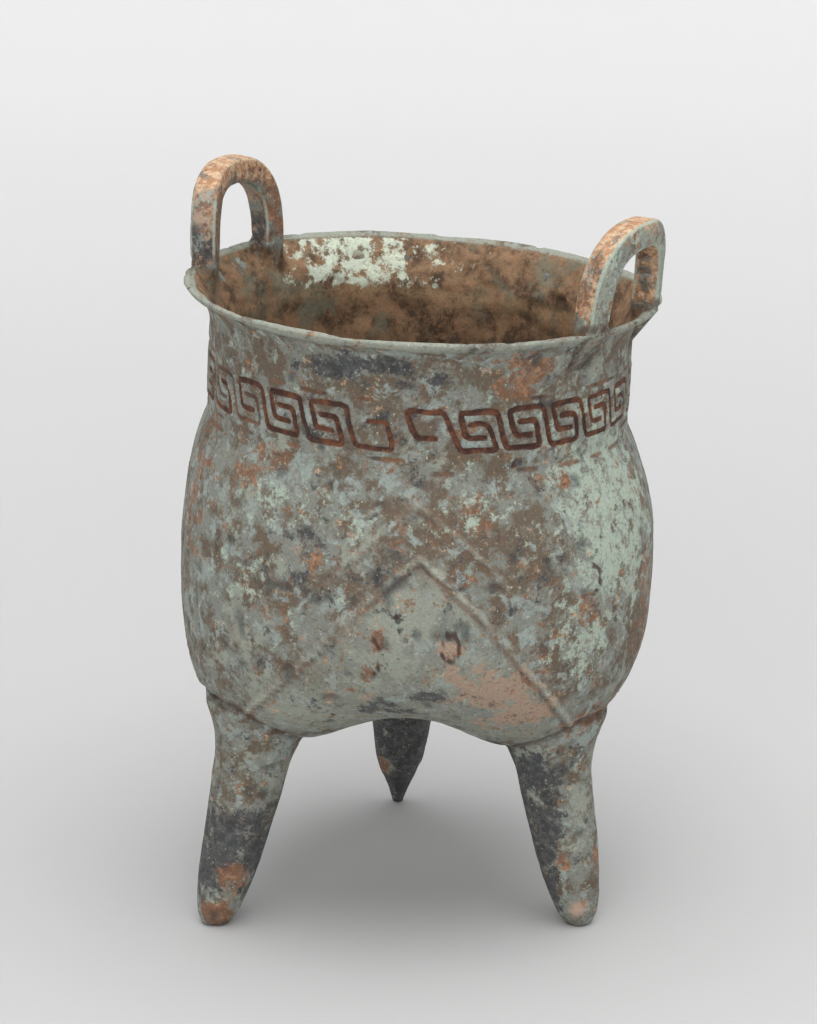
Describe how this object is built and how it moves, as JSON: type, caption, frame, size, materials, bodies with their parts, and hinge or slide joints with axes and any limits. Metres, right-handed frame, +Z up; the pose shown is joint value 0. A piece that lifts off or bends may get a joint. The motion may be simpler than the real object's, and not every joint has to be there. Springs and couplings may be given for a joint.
{
  "type": "li tripod vessel",
  "caption": "Cast bronze tripod cooking vessel: lobed hollow pot on pointed feet, everted lip, two upright loop handles, squared spiral band.",
  "frame": {"origin": "on the floor, in the middle of the vessel's footprint", "axes": "+Z up; -Y towards the two front feet; the handles stand over the left of the back and the right of the front"},
  "size_m": [0.1312, 0.1302, 0.2033],
  "materials": {
    "patinated_bronze": "buried bronze: matt grey-green patina with rust-brown, pale mint and charcoal patches"
  },
  "bodies": {
    "root": {"li_vessel": "patinated_bronze"}
  },
  "joints": []
}
